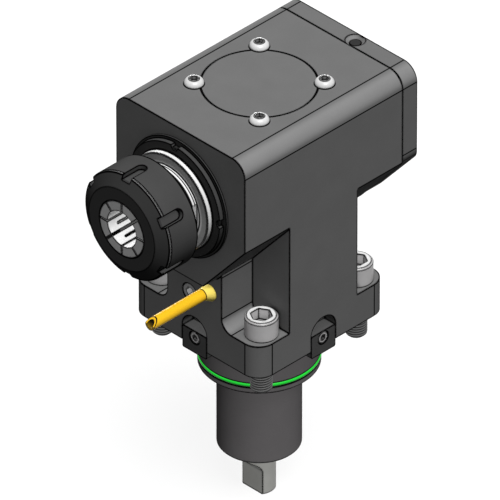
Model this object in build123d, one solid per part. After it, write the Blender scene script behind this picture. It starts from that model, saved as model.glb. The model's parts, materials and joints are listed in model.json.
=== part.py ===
from build123d import *
from math import acos, cos, pi, radians, sin, sqrt, tan
import os

# Live tool holder with a spindle at right angles to its drive shaft, in millimetres.
# The origin is the centre of the mounting face, on the axis of the pilot and the drive shaft.
# +Z points up to the head, the spindle nose points along -Y, and +X is to the nose's right side.

# Clearances
running_gap = 0.05          # radial play of a shaft or a thread in its hole
seat_gap = 0.05             # radial play of a part that sits still in its bore
air_gap = 0.4               # play between a turning part and a still one
ring_seat_gap = 0.005       # play of a ring seal on its groove's floor
cone_gap = 0.05             # play of the collet in its taper and in the nut
screw_hole_gap = 0.2        # radial play of a screw in its clearance hole
end_gap = 1.0               # room left behind the end of a screw, a thread or a shaft
overrun = 1.0               # how far a cutter runs out of the metal it cuts
thread_chamfer = 1.0        # bevel at the end of a thread or a shaft

# Screws, as shares of their own size
head_edge_share = 0.06      # bevel of a cap screw's head, of its diameter
socket_share = 0.55         # depth of a cap screw's socket, of the head's height
point_share = 0.12          # bevel at a screw's point, of its thread
shank_waist = 0.6           # a long screw's plain shank is this much thinner, in radius, than its thread
button_rim_share = 0.25     # straight rim of a domed head, of its height
button_crown_share = 0.28   # radius of the flat crown, of the head's diameter
button_dome_share = 0.43    # radius at the middle of the dome, of the head's diameter
button_dome_rise = 0.72     # height at the middle of the dome, of the head's height
button_socket_share = 0.38  # width of a domed head's socket, of its diameter
button_socket_depth = 0.65  # depth of a domed head's socket, of its height

# Round lock nuts, as shares of their outer radius
nut_notch_share = 0.1       # depth of the wrench slots
nut_notch_width = 0.22

# Bevel gear pair, both gears alike
gear_module = 2.0
gear_teeth = 23
gear_face = 8.0             # tooth length along the cone
pressure_angle = 20.0
tooth_play = 0.12           # each flank is this much thinner at the large end
tooth_root_depth = 1.25     # in modules, below the pitch cone
tooth_sink = 0.5            # how far a tooth reaches into the blank
flank_steps = 3             # straight steps along one flank
gear_hub_radius = 17.0
gear_hub_length = 12.0      # hub behind the tooth rim

# Spindle bearings and seal
front_bearing_bore_diameter = 40.0
front_bearing_outer = 68.0
front_bearing_width = 15.0
rear_bearing_bore_diameter = 25.0
rear_bearing_outer = 52.0
rear_bearing_width = 15.0
ring_wall = 3.6             # thickness of a bearing ring
front_bearing_gap = 1.09    # from the input gear's teeth to the front bearings

# Front ring, which holds the front bearings in the housing
front_ring_spigot = 2.3
front_ring_flange_radius = 35.1
front_ring_flange = 1.5
front_ring_boss_radius = 33.3
front_ring_boss = 3.0
front_ring_opening = 28.5
front_ring_lip = 0.8
spanner_notch_radius = 2.4
seal_journal_radius = 25.0
seal_wall = 6.5             # radial thickness of the spindle seal
seal_end_gap = 0.3          # from the front bearings to the seal

# Spindle nose
collar_radius = 28.2
collar_width = 3.4
collar_gap = 0.5            # from the front ring's face to the collar
collar_edge = 0.6
thread_runout = 0.5         # cone at the back end of the nose thread
socket_end_gap = 1.5        # from the collet's end to the end of the taper socket
socket_step = 1.5           # the bottom of the socket is this much narrower, in radius
socket_bottom = 3.0         # depth of the narrower bottom
nose_diameter = 45.0
nose_length = 9.8           # from the collar to the back of the clamping nut
wrench_flats = 41.0
nose_thread_diameter = 49.8

# Collet
collet_length = 46.0
collet_bore = 21.0
collet_grip = 30.0          # length of the gripping bore
collet_relief = 24.5        # diameter of the bore behind the grip
collet_body_radius = 20.4
collet_face_radius = 16.0
collet_front_cone = 7.3
collet_front_land = 1.0
collet_groove = 2.6
collet_groove_radius = 17.8
collet_groove_play = 0.25   # radial play of the nut's lip in the groove
collet_play = 0.15          # radial play of the collet's land in the nut
taper_angle = 8.0
jaw_slots = 8
jaw_slot_width = 1.0
front_slot_stop = 6.0       # metal left at the back end of the front slots
rear_slot_stop = 6.5        # metal left at the front end of the rear slots

# Clamping nut
nut_diameter = 63.0
nut_length = 24.6
nut_face_radius = 24.1
nut_cone_length = 4.3
nut_edge = 0.4
nut_opening_radius = 16.3
nut_slots = 6
nut_slot_width = 5.8
nut_slot_depth = 3.0
nut_slot_length = 14.3      # from the nut's face to the centre of the rounded end
nut_thread_start = 13.0     # from the nut's face to the spindle's end
nut_thread_relief = 0.8     # groove in front of the nut's thread
nut_relief = 1.0            # room behind the nut's lip, in radius
lip_gap = 0.3               # play of the nut's lip along the collet's groove

# Head of the housing
head_width = 94.4
spindle_height = 100.8
head_above = 42.2           # top face above the spindle axis
head_below = 49.7           # lowest line of the head below the spindle axis
side_below = 13.7           # lower edge of the side faces below the spindle axis
underside_width = 33.2
top_edge_radius = 9.4
underside_radius = 2.0
chamber_radius = 31.0       # gear chamber round the spindle

# Rear cover
rear_cover_thickness = 10.8
rear_cover_spigot = 4.8
rear_cover_drop = 46.5      # lowest line of the cover below the spindle axis
rear_corner_radius = 6.0
rear_ring_margin = 1.0      # from the rear bearing's bore to the cover's ring groove
rear_screw_top_x = 38.0
rear_screw_top_rise = 32.0  # upper screws above the spindle axis
rear_screw_low_x = 18.0
rear_screw_low_drop = 36.5  # lower screws below the spindle axis
rear_screw_length = 16.0
rear_screw_head = 10.0
rear_screw_head_height = 6.0
rear_screw_socket = 5.0
rear_screw_sink = 6.2
rear_screw_play = 0.4        # radial play of the head in its sink
port_offset = 7.2
port_countersink = 10.8
port_thread = 6.3
port_depth = 9.0
port_plug_sunk = 1.6
rear_room_depth = 5.0       # room for the spindle's end, sunk in the cover

# Top cover
top_cover_radius = 30.65
top_cover_thickness = 6.0
top_opening_radius = 28.6
top_screw_circle = 33.85    # radius of the screw circle
button_head_diameter = 10.5
button_head_height = 3.3
small_thread = 6.0          # thread of the cover screws
cover_screw_length = 12.0

# Flange, neck and bolts
flange_depth = 95.5
flange_thickness = 20.1
flange_corner_radius = 10.1
web_margin = 20.0           # bolts' spacing less the full-width web across the neck
neck_width = 40.0
pocket_radius = 7.0
bolt_margin_x = 21.4        # flange width less the bolts' spacing
bolt_margin_y = 25.5
bolt_diameter = 12.0
bolt_length = 35.0
bolt_head_diameter = 18.0
bolt_head_height = 12.0
bolt_socket = 10.0
bolt_hole = 13.5

# Locating keys
key_width = 18.0
key_depth = 8.0
key_drop = 4.5              # below the mounting face
key_rise = 9.5              # above the mounting face
key_slot_centre = 9.2
key_screw_rise = 5.1
key_screw_thread = 4.0
key_screw_head = 7.0
key_screw_head_height = 4.2
key_screw_length = 10.0
key_screw_socket = 3.0
key_screw_sink = 4.5        # depth of the key's counterbore
key_edge = 0.6

# Pilot, shank and their ring seals
pilot_diameter = 65.0
pilot_length = 32.0
pilot_chamfer = 0.8
shank_diameter = 45.0
shank_length = 51.9
shank_chamfer = 0.6
pilot_ring_drop = 26.6
ring_section = 2.6          # thickness of the ring seals
ring_groove_depth = 2.5
ring_squeeze = 0.12         # groove width less the ring's own thickness
ring_sides = 8              # flat sides of a ring seal's section

# Drive shaft and its bearings
drive_bearing_bore_diameter = 30.0
drive_bearing_outer = 55.0
drive_bearing_width = 13.0
bearing_nut_width = 4.0
lower_bearing_bore_diameter = 20.0
lower_bearing_outer = 37.0
lower_bearing_width = 9.0
lower_bearing_depth = 10.0  # from the shank's end to the bearing
circlip_width = 1.4
circlip_bite = 1.0          # how far the snap ring stands in its groove
circlip_lip = 2.2           # how far it stands out of its groove
circlip_opening = 4.0
circlip_gap = 0.1
shaft_seal_gap = 0.6        # from the snap ring to the shaft seal
shaft_seal_sink = 0.5       # from the shank's end to the seal
shaft_body_diameter = 25.0
shaft_bore_play = 3.0       # room round the drive shaft inside the neck
lock_nut_width = 7.0
lock_nut_wall = 7.0
lock_nut_gap = 2.0          # room round the drive shaft's lock nut
lock_washer = 1.2
gear_seat_diameter = 20.0
shaft_end = 1.0             # the shaft stands this much out of its gear's nut
gear_nut_width = 5.0
gear_nut_radius = 13.0
gear_key_width = 6.0
gear_key_height = 5.0
gear_key_depth = 2.5        # depth of the keyway in the shaft
tang_diameter = 18.0
tang_length = 29.7          # below the shank
tang_thickness = 10.0
tang_edge = 0.4
tang_flat_length = 14.0
tang_runout_radius = 5.0

# Coolant nozzle, plug and inlet
nozzle_x = 11.5
nozzle_drop = 11.0          # centre of the nozzle's foot below the head
nozzle_offset = 1.3         # the pipe stands this much above its foot's centre
nozzle_reach = 44.2         # from the neck's front face to the tip
nozzle_radius = 3.3
nozzle_tip_radius = 3.2
nozzle_foot_radius = 4.8
nozzle_foot = 1.0           # straight part of the foot
nozzle_flare = 5.8          # from the neck's front face to the pipe
nozzle_bore_radius = 2.1
nozzle_tip_edge = 0.3
nozzle_thread_radius = 4.0
nozzle_thread_length = 10.0
plug_x = -3.5
plug_drop = 18.4            # below the head
plug_thread = 10.0
plug_sunk = 0.3
plug_depth = 7.0
plug_socket = 5.0
plug_socket_depth = 4.2
inlet_x = 14.5
inlet_margin = 7.75          # from the flange's front face
inlet_radius = 2.5
inlet_ring_thickness = 1.9
inlet_ring_groove = 1.5     # depth of the ring's seat, so that the ring stands a little proud

# Places along the gear axes, measured from the point where the two axes cross
pitch_radius = gear_module * gear_teeth / 2
cone_distance = pitch_radius * sqrt(2)
small_end = (cone_distance - gear_face) / cone_distance
addendum = gear_module / sqrt(2)
dedendum = tooth_root_depth * gear_module / sqrt(2)
gear_tip_radius = pitch_radius + addendum
gear_front = (pitch_radius + dedendum) * small_end
gear_rim_back = pitch_radius + dedendum + addendum
gear_back = gear_rim_back + gear_hub_length

# Places along the spindle, as distances from the drive axis
front_bearing_back = gear_tip_radius + front_bearing_gap
front_bearing_front = front_bearing_back + 2 * front_bearing_width
head_front = front_bearing_front + front_ring_spigot
front_ring_face = head_front + front_ring_flange + front_ring_boss
collar_back = front_ring_face + collar_gap
collar_front = collar_back + collar_width
nut_back = collar_front + nose_length
nut_face = nut_back + nut_length
spindle_front = nut_face - nut_thread_start + air_gap
rear_bearing_front = gear_back
rear_bearing_back = rear_bearing_front + rear_bearing_width
head_back = rear_bearing_back + rear_cover_spigot

# Heights
crossing = spindle_height
head_top = spindle_height + head_above
head_bottom = spindle_height - head_below
nozzle_height = head_bottom - nozzle_drop
plug_height = head_bottom - plug_drop
side_bottom = spindle_height - side_below
drive_bearing_top = crossing - gear_back
drive_bearing_bottom = drive_bearing_top - 2 * drive_bearing_width
shank_bottom = -pilot_length - shank_length
lower_bearing_bottom = shank_bottom + lower_bearing_depth
lower_bearing_top = lower_bearing_bottom + lower_bearing_width
lock_nut_room = drive_bearing_bottom - lock_washer - lock_nut_width - lock_nut_gap
neck_bore_radius = shaft_body_diameter / 2 + shaft_bore_play

# Places across the flange
bolt_spacing_x = head_width - bolt_margin_x
bolt_spacing_y = flange_depth - bolt_margin_y
web_depth = bolt_spacing_y - web_margin
inlet_y = flange_depth / 2 - inlet_margin


def turned(outline):
    """Solid of revolution about Z from (radius, height) points."""
    points = [(radius, 0, height) for radius, height in outline]
    return revolve(make_face(Polyline(*points, close=True)), Axis.Z, 360)


def ring(inner, outer, low, high):
    """Plain ring about Z between two heights."""
    return turned([(inner, low), (outer, low), (outer, high), (inner, high)])


def post(radius, low, high):
    """Plain round bar about Z between two heights."""
    return Pos(0, 0, low) * Cylinder(radius, high - low, align=(Align.CENTER, Align.CENTER, Align.MIN))


def on_spindle(shape):
    """Lay a part made about Z on the spindle axis, its height running from nose to rear."""
    return Pos(0, 0, spindle_height) * Rot(-90, 0, 0) * shape


def facing_front(shape, x, y, z):
    """Turn a part made about Z so that its top points along -Y, and put its origin at a place."""
    return Pos(x, y, z) * Rot(90, 0, 0) * shape


def around(shape, count, start=0.0):
    """Copies of a shape at even angles about Z."""
    return [Rot(0, 0, start + 360 * index / count) * shape for index in range(count)]


def hexagon_socket(width, low, high):
    """Hexagonal recess about Z, measured across its flats."""
    face = RegularPolygon(width / 2, 6, major_radius=False)
    return Pos(0, 0, low) * extrude(face, high - low)


def cap_screw(thread, length, head_diameter, head_height, socket, plain=0.0):
    """Socket head screw along Z: the head's underside is at height 0, a waisted shank may follow."""
    edge = head_edge_share * head_diameter
    head = turned([
        (0, 0), (head_diameter / 2, 0), (head_diameter / 2, head_height - edge),
        (head_diameter / 2 - edge, head_height), (0, head_height)])
    point = point_share * thread
    radius = thread / 2
    waist = radius - shank_waist
    outline = [(0, 0), (waist, 0), (waist, -plain), (radius, -plain)] if plain > 0 else [(0, 0), (radius, 0)]
    outline += [(radius, point - length), (radius - point, -length), (0, -length)]
    floor = (1 - socket_share) * head_height
    return head + turned(outline) - hexagon_socket(socket, floor, head_height + overrun)


def button_screw(thread, length, head_diameter, head_height):
    """Domed screw along Z: the head's underside is at height 0."""
    rim = button_rim_share * head_height
    crown = button_crown_share * head_diameter
    middle = (button_dome_share * head_diameter, 0, button_dome_rise * head_height)
    dome = ThreePointArc((head_diameter / 2, 0, rim), middle, (crown, 0, head_height))
    profile = [
        Line((0, 0, head_height), (0, 0, 0)), Line((0, 0, 0), (head_diameter / 2, 0, 0)),
        Line((head_diameter / 2, 0, 0), (head_diameter / 2, 0, rim)), dome,
        Line((crown, 0, head_height), (0, 0, head_height))]
    head = revolve(make_face(Wire(profile)), Axis.Z, 360)
    floor = (1 - button_socket_depth) * head_height
    socket = hexagon_socket(button_socket_share * head_diameter, floor, head_height + overrun)
    return head + post(thread / 2, -length, 0) - socket


def slotted_nut(inner, outer, low, high):
    """Round lock nut about Z with four wrench slots in its rim."""
    body = ring(inner, outer, low, high)
    depth = 2 * nut_notch_share * outer
    slot = Pos(outer, 0, (low + high) / 2) * Box(depth, nut_notch_width * outer, high - low + overrun)
    return body - around(slot, 4)


# Gears

def flank_half_angle(radius, virtual_radius):
    """Half the tooth's angle at a radius of the virtual spur gear on the back cone."""
    base = virtual_radius * cos(radians(pressure_angle))
    thickness = pi * gear_module / 2 - 2 * tooth_play
    involute = tan(radians(pressure_angle)) - radians(pressure_angle)
    if radius > base:
        angle = acos(base / radius)
        involute -= tan(angle) - angle
    return thickness / (2 * virtual_radius) + involute


def tooth_section(scale):
    """Tooth outline on the plane across the cone, drawn at a share of its distance to the apex."""
    virtual_radius = cone_distance
    base = virtual_radius * cos(radians(pressure_angle))
    tip = virtual_radius + gear_module
    foot = virtual_radius - tooth_root_depth * gear_module - tooth_sink
    flank = [base + (tip - base) * step / flank_steps for step in range(flank_steps + 1)]
    side = []
    for radius in [foot] + flank:
        angle = flank_half_angle(radius, virtual_radius)
        side.append((radius * cos(angle) - virtual_radius, radius * sin(angle)))
    outline = [(rise, width) for rise, width in side]
    outline += [(rise, -width) for rise, width in reversed(side)]
    points = []
    for rise, width in outline:
        lift = rise / sqrt(2)
        points.append((scale * (pitch_radius + lift), scale * width, scale * (lift - pitch_radius)))
    return make_face(Polyline(*points, close=True))


def bevel_gear(bore, first_tooth, recess_radius=0.0, recess_depth=0.0):
    """Straight bevel gear: apex of its cone at the origin, hub towards -Z."""
    root_radius = pitch_radius - dedendum
    root_depth = pitch_radius + dedendum
    rim_radius = root_radius - addendum
    blank = turned([
        (bore, -gear_front), (root_radius * small_end, -gear_front), (root_radius, -root_depth),
        (rim_radius, -gear_rim_back), (gear_hub_radius, -gear_rim_back),
        (gear_hub_radius, -gear_back), (bore, -gear_back)])
    tooth = loft([tooth_section(1.0), tooth_section(small_end)], ruled=True)
    gear = blank + around(tooth, gear_teeth, first_tooth)
    if recess_depth > 0:
        gear = gear - post(recess_radius, -gear_front - recess_depth, 0)
    return gear


def gear_keyway(shaft_radius, length, play=0.0):
    """Flat key on +X of a shaft about Z, from height 0 up."""
    low = shaft_radius - gear_key_depth - play
    block = Box(
        gear_key_height + 2 * play, gear_key_width + 2 * play, length + 2 * play,
        align=(Align.MIN, Align.CENTER, Align.MIN))
    return Pos(low, 0, -play) * block


def input_gear():
    """Gear on the drive shaft, with a tooth facing the output gear."""
    gear = bevel_gear(
        gear_seat_diameter / 2 + seat_gap, 90.0, gear_nut_radius + air_gap, gear_nut_width)
    keyway = gear_keyway(gear_seat_diameter / 2, gear_hub_length, seat_gap)
    gear = gear - Pos(0, 0, -gear_back) * keyway
    return Pos(0, 0, crossing) * gear


def output_gear():
    """Gear on the spindle, with a gap between teeth facing the input gear."""
    half_pitch = 180 / gear_teeth
    gear = bevel_gear(rear_bearing_bore_diameter / 2 + seat_gap, half_pitch - 90.0)
    keyway = gear_keyway(rear_bearing_bore_diameter / 2, gear_hub_length, seat_gap)
    gear = gear - Pos(0, 0, -gear_back) * keyway
    return Pos(0, 0, spindle_height) * Rot(90, 0, 0) * gear


# Housing

def head_block():
    """Head with its sloping underside and rounded top edges."""
    half = head_width / 2
    outline = Polyline(
        (-half, 0, side_bottom), (-half, 0, head_top), (half, 0, head_top), (half, 0, side_bottom),
        (underside_width / 2, 0, head_bottom), (-underside_width / 2, 0, head_bottom), close=True)
    face = Pos(0, -head_front, 0) * make_face(outline)
    block = extrude(face, head_front + head_back, dir=(0, 1, 0))
    along = block.edges().filter_by(Axis.Y)
    block = fillet(along.group_by(Axis.Z)[-1], top_edge_radius)
    low = block.edges().filter_by(Axis.Y).group_by(Axis.Z)[0]
    return fillet(low, underside_radius)


def bolt_pocket():
    """Cutter of the pocket over one bolt, at +X +Y, with its inner floor corner rounded."""
    wide = head_width
    tall = side_bottom - flange_thickness + overrun
    pocket = Pos(neck_width / 2, web_depth / 2, flange_thickness) * Box(
        wide, wide, tall, align=(Align.MIN, Align.MIN, Align.MIN))
    corner = pocket.edges().filter_by(Axis.Y).group_by(Axis.Z)[0].sort_by(Axis.X)[0]
    return fillet(corner, pocket_radius)


def neck_block():
    """Flange and neck in one block, with four bolt pockets cut from its corners."""
    block = Box(
        head_width, flange_depth, side_bottom, align=(Align.CENTER, Align.CENTER, Align.MIN))
    block = fillet(block.edges().filter_by(Axis.Z), flange_corner_radius)
    pocket = bolt_pocket()
    across = pocket.mirror(Plane.YZ)
    return block - [pocket, across, pocket.mirror(Plane.XZ), across.mirror(Plane.XZ)]


def pilot_and_shank():
    """Centring pilot with its ring groove, and the shank that holds the drive bearing."""
    pilot = pilot_diameter / 2
    shank = shank_diameter / 2
    groove = pilot - ring_groove_depth
    low = -pilot_ring_drop - ring_section / 2
    high = low + ring_section
    return turned([
        (0, overrun), (pilot, overrun), (pilot, high), (groove, high), (groove, low), (pilot, low),
        (pilot, pilot_chamfer - pilot_length), (pilot - pilot_chamfer, -pilot_length),
        (shank, -pilot_length), (shank, shank_bottom + shank_chamfer),
        (shank - shank_chamfer, shank_bottom), (0, shank_bottom)])


def bolt_places():
    """The four mounting bolt places."""
    return [
        (side * bolt_spacing_x / 2, end * bolt_spacing_y / 2)
        for side in (-1, 1) for end in (-1, 1)]


def rear_screw_places():
    """The four rear cover screws, as X and height."""
    upper = spindle_height + rear_screw_top_rise
    lower = spindle_height - rear_screw_low_drop
    return [
        (-rear_screw_top_x, upper), (rear_screw_top_x, upper),
        (-rear_screw_low_x, lower), (rear_screw_low_x, lower)]


def key_places(shape):
    """A shape made for the key on +X, copied to the four sides of the flange."""
    side = head_width / 2
    end = flange_depth / 2
    return [
        Pos(side, 0, 0) * shape, Rot(0, 0, 90) * Pos(end, 0, 0) * shape,
        Rot(0, 0, 180) * Pos(side, 0, 0) * shape, Rot(0, 0, 270) * Pos(end, 0, 0) * shape]


def key_slot():
    """Cutter of one key slot, open below and round at the top, with its screw hole."""
    block = Box(
        2 * key_depth, key_width, 2 * key_slot_centre, align=(Align.CENTER, Align.CENTER, Align.CENTER))
    arch = Rot(0, 90, 0) * Cylinder(key_width / 2, 2 * key_depth)
    hole = Rot(0, 90, 0) * Cylinder(
        key_screw_thread / 2 + running_gap, 2 * (key_depth + key_screw_length))
    return block + Pos(0, 0, key_slot_centre) * arch + Pos(0, 0, key_screw_rise) * hole


def spindle_bores():
    """Everything bored along the spindle axis."""
    outer = front_bearing_outer / 2 + seat_gap
    front = ring(0, outer, -head_front - overrun, -front_bearing_back)
    chamber = post(chamber_radius, -front_bearing_back - overrun, gear_back - gear_hub_length / 2)
    rear = post(rear_bearing_outer / 2 + seat_gap, 0, head_back + overrun)
    return on_spindle(front + chamber + rear)


def drive_bores():
    """Everything bored along the drive axis, from the top cover's seat down to the tang."""
    seat = post(top_cover_radius + seat_gap, head_top - top_cover_thickness, head_top + overrun)
    opening = post(top_opening_radius, drive_bearing_top, head_top)
    bearings = post(drive_bearing_outer / 2 + seat_gap, drive_bearing_bottom, crossing)
    nut_room = drive_bearing_bore_diameter / 2 + lock_nut_wall + lock_nut_gap
    nut_bore = post(nut_room, lock_nut_room, crossing)
    passage = post(neck_bore_radius, shank_bottom - overrun, crossing)
    lower = post(lower_bearing_outer / 2 + seat_gap, shank_bottom - overrun, lower_bearing_top)
    clip_low = lower_bearing_bottom - circlip_width - circlip_gap
    clip = post(lower_bearing_outer / 2 + circlip_bite + circlip_gap, clip_low, lower_bearing_bottom)
    return seat + opening + bearings + nut_bore + passage + lower + clip


def housing():
    """Head, neck, flange, pilot and shank in one block, with all bores, slots and threaded holes."""
    body = head_block() + neck_block() + pilot_and_shank()
    body = body - spindle_bores() - drive_bores()
    body = body - key_places(key_slot())
    holes = []
    for x, y in bolt_places():
        holes.append(Pos(x, y, 0) * post(bolt_hole / 2, -overrun, flange_thickness + overrun))
    screw_hole = small_thread / 2 + running_gap
    cover_hole = post(screw_hole, head_top - cover_screw_length - end_gap, head_top + overrun)
    holes += around(Pos(top_screw_circle, 0, 0) * cover_hole, 4, 45)
    for x, z in rear_screw_places():
        depth = rear_screw_length - rear_cover_thickness + rear_screw_sink + end_gap
        holes.append(Pos(x, head_back, z) * Rot(90, 0, 0) * post(screw_hole, -overrun, depth))
    front = -flange_depth / 2
    holes.append(facing_front(
        post(nozzle_thread_radius + running_gap, -nozzle_thread_length, overrun),
        nozzle_x, front, nozzle_height))
    holes.append(facing_front(
        post(plug_thread / 2 + running_gap, -plug_depth - end_gap, overrun), plug_x, front, plug_height))
    holes.append(Pos(inlet_x, -inlet_y, 0) * post(inlet_radius, -overrun, nozzle_height))
    inlet_seat = post(
        inlet_radius + inlet_ring_thickness + seat_gap, -overrun, inlet_ring_groove)
    holes.append(Pos(inlet_x, -inlet_y, 0) * inlet_seat)
    return body - holes


# Covers, front ring and small parts of the housing

def seal_body(radius, section):
    """Ring about Z with an eight-sided section, flat where it meets its groove."""
    corner = section / cos(pi / ring_sides)
    points = []
    for side in range(ring_sides):
        angle = 2 * pi * (side + 0.5) / ring_sides
        points.append((radius + corner * cos(angle), corner * sin(angle)))
    return turned(points)


def ring_seal(groove_radius):
    """Ring seal about Z that lies in a groove whose floor has this radius."""
    section = (ring_section - ring_squeeze) / 2
    return seal_body(groove_radius + section + ring_seat_gap, section)


def top_cover():
    """Round cover over the gear chamber, with a groove in its rim for a ring seal."""
    low = head_top - top_cover_thickness
    groove = top_cover_radius - ring_groove_depth
    groove_low = low + (top_cover_thickness - ring_section) / 2
    groove_high = groove_low + ring_section
    return turned([
        (0, head_top), (top_cover_radius, head_top), (top_cover_radius, groove_high),
        (groove, groove_high), (groove, groove_low), (top_cover_radius, groove_low),
        (top_cover_radius, low), (0, low)])


def top_cover_oring():
    """Ring seal in the top cover's rim."""
    middle = head_top - top_cover_thickness / 2
    return Pos(0, 0, middle) * ring_seal(top_cover_radius - ring_groove_depth)


def top_cover_screws():
    """Four domed screws whose heads overlap the edge of the top cover."""
    screw = button_screw(small_thread, cover_screw_length, button_head_diameter, button_head_height)
    return around(Pos(top_screw_circle, 0, head_top) * screw, 4, 45)


def port_cutter():
    """Countersunk threaded port in the top face of the rear cover."""
    hole = post(port_thread / 2, -port_depth, overrun)
    sink = (port_countersink - port_thread) / 2
    return hole + turned([(0, -sink), (port_thread / 2, -sink), (port_countersink / 2, 0), (0, 0)])


def rear_cover():
    """Plate over the back of the head, with a spigot that holds the rear bearing."""
    half = head_width / 2
    low = spindle_height - rear_cover_drop
    slope = (half - underside_width / 2) / (side_bottom - head_bottom)
    narrow = underside_width / 2 + slope * (low - head_bottom)
    outline = Polyline(
        (-half, 0, side_bottom), (-half, 0, head_top), (half, 0, head_top), (half, 0, side_bottom),
        (narrow, 0, low), (-narrow, 0, low), close=True)
    plate = extrude(Pos(0, head_back, 0) * make_face(outline), rear_cover_thickness, dir=(0, 1, 0))
    top = plate.edges().filter_by(Axis.Y).group_by(Axis.Z)[-1]
    plate = fillet(top, top_edge_radius)
    middle = (side_bottom + head_top) / 2
    low_edges = plate.edges().filter_by(Axis.Y).filter_by(lambda edge: edge.center().Z < middle)
    plate = fillet(low_edges, rear_corner_radius)
    spigot = ring(
        rear_bearing_outer / 2 - ring_wall, rear_bearing_outer / 2, rear_bearing_back, head_back + overrun)
    groove_floor = rear_bearing_outer / 2 + rear_ring_margin
    groove = ring(
        groove_floor, groove_floor + ring_section, head_back - overrun, head_back + ring_groove_depth)
    room = post(rear_bearing_outer / 2 - ring_wall, head_back - overrun, head_back + rear_room_depth)
    plate = plate + on_spindle(spigot) - on_spindle(room) - on_spindle(groove)
    holes = []
    for x, z in rear_screw_places():
        outside = head_back + rear_cover_thickness
        hole = post(small_thread / 2 + screw_hole_gap, -overrun, rear_cover_thickness + overrun)
        hole = hole + post(rear_screw_head / 2 + rear_screw_play, -overrun, rear_screw_sink)
        holes.append(Pos(x, outside, z) * Rot(90, 0, 0) * hole)
    holes.append(Pos(port_offset, head_back + rear_cover_thickness / 2, head_top) * port_cutter())
    return plate - holes


def rear_cover_oring():
    """Ring seal between the rear cover and the head."""
    floor = rear_bearing_outer / 2 + rear_ring_margin
    return on_spindle(Pos(0, 0, head_back + (ring_section - ring_squeeze) / 2) * ring_seal(floor))


def rear_cover_screws():
    """Four socket head screws, sunk in the rear cover."""
    screw = cap_screw(
        small_thread, rear_screw_length, rear_screw_head, rear_screw_head_height, rear_screw_socket)
    under_head = head_back + rear_cover_thickness - rear_screw_sink
    return [Pos(x, under_head, z) * Rot(-90, 0, 0) * screw for x, z in rear_screw_places()]


def rear_port_plug():
    """Plain plug that closes the port in the rear cover."""
    body = post(port_thread / 2 - running_gap, seat_gap - port_depth, -port_plug_sunk)
    return Pos(port_offset, head_back + rear_cover_thickness / 2, head_top) * body


def front_ring():
    """Threaded ring with four spanner notches that holds the front bearings and their seal."""
    pocket = seal_journal_radius + seal_wall + seat_gap
    step = head_front + front_ring_flange
    body = turned([
        (front_ring_opening, -front_ring_face), (front_ring_boss_radius, -front_ring_face),
        (front_ring_boss_radius, -step), (front_ring_flange_radius, -step),
        (front_ring_flange_radius, -head_front), (front_bearing_outer / 2, -head_front),
        (front_bearing_outer / 2, -front_bearing_front), (pocket, -front_bearing_front),
        (pocket, front_ring_lip - front_ring_face), (front_ring_opening, front_ring_lip - front_ring_face)])
    notch = post(spanner_notch_radius, -front_ring_face - overrun, -step)
    notch = Pos(front_ring_boss_radius, 0, 0) * notch
    return on_spindle(body - around(notch, 4))


def spindle_seal():
    """Lip seal between the front ring and the spindle."""
    low = front_ring_lip - front_ring_face
    return on_spindle(ring(
        seal_journal_radius + running_gap, seal_journal_radius + seal_wall, low,
        -front_bearing_front - seal_end_gap))


def bearing_rings(bore, outer, width, low, count):
    """Inner and outer rings of bearings that stand side by side from a height up."""
    inner_rings = []
    outer_rings = []
    for index in range(count):
        start = low + index * width
        inner_rings.append(ring(bore / 2, bore / 2 + ring_wall, start, start + width))
        outer_rings.append(ring(outer / 2 - ring_wall, outer / 2, start, start + width))
    return inner_rings, outer_rings


def locating_key():
    """Key with a counterbored screw hole, made for the +X side of the flange."""
    height = key_drop + key_rise
    body = Pos(0, 0, -key_drop) * Box(
        key_depth, key_width - 2 * seat_gap, height, align=(Align.MAX, Align.CENTER, Align.MIN))
    body = chamfer(body.edges().filter_by(Axis.X), key_edge)
    hole = Rot(0, 90, 0) * Cylinder(key_screw_thread / 2 + screw_hole_gap, 4 * key_depth)
    sink = Rot(0, 90, 0) * Cylinder(key_screw_head / 2 + screw_hole_gap, 2 * key_screw_sink)
    return body - [Pos(0, 0, key_screw_rise) * hole, Pos(0, 0, key_screw_rise) * sink]


def key_screw():
    """Screw of one locating key, made for the +X side of the flange."""
    screw = cap_screw(
        key_screw_thread, key_screw_length, key_screw_head, key_screw_head_height, key_screw_socket)
    return Pos(-key_screw_sink, 0, key_screw_rise) * Rot(0, 90, 0) * screw


def mounting_screws():
    """Four socket head screws through the flange."""
    screw = cap_screw(
        bolt_diameter, bolt_length, bolt_head_diameter, bolt_head_height, bolt_socket, flange_thickness)
    return [Pos(x, y, flange_thickness) * screw for x, y in bolt_places()]


def pilot_oring():
    """Ring seal of the pilot."""
    return Pos(0, 0, -pilot_ring_drop) * ring_seal(pilot_diameter / 2 - ring_groove_depth)


def coolant_nozzle():
    """Straight coolant pipe that stands off-centre on its flared foot, screwed into the neck."""
    foot = post(nozzle_thread_radius, end_gap - nozzle_thread_length, 0)
    foot = foot + post(nozzle_foot_radius, 0, nozzle_foot)
    flare = loft([
        Pos(0, 0, nozzle_foot) * Circle(nozzle_foot_radius),
        Pos(0, nozzle_offset, nozzle_flare) * Circle(nozzle_radius)])
    pipe = turned([
        (0, nozzle_flare), (nozzle_radius, nozzle_flare),
        (nozzle_tip_radius, nozzle_reach - nozzle_tip_edge),
        (nozzle_tip_radius - nozzle_tip_edge, nozzle_reach), (0, nozzle_reach)])
    bore = post(nozzle_bore_radius, -nozzle_thread_length, nozzle_reach + overrun)
    body = foot + flare + Pos(0, nozzle_offset, 0) * pipe - Pos(0, nozzle_offset, 0) * bore
    return facing_front(body, nozzle_x, -flange_depth / 2, nozzle_height)


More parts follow.
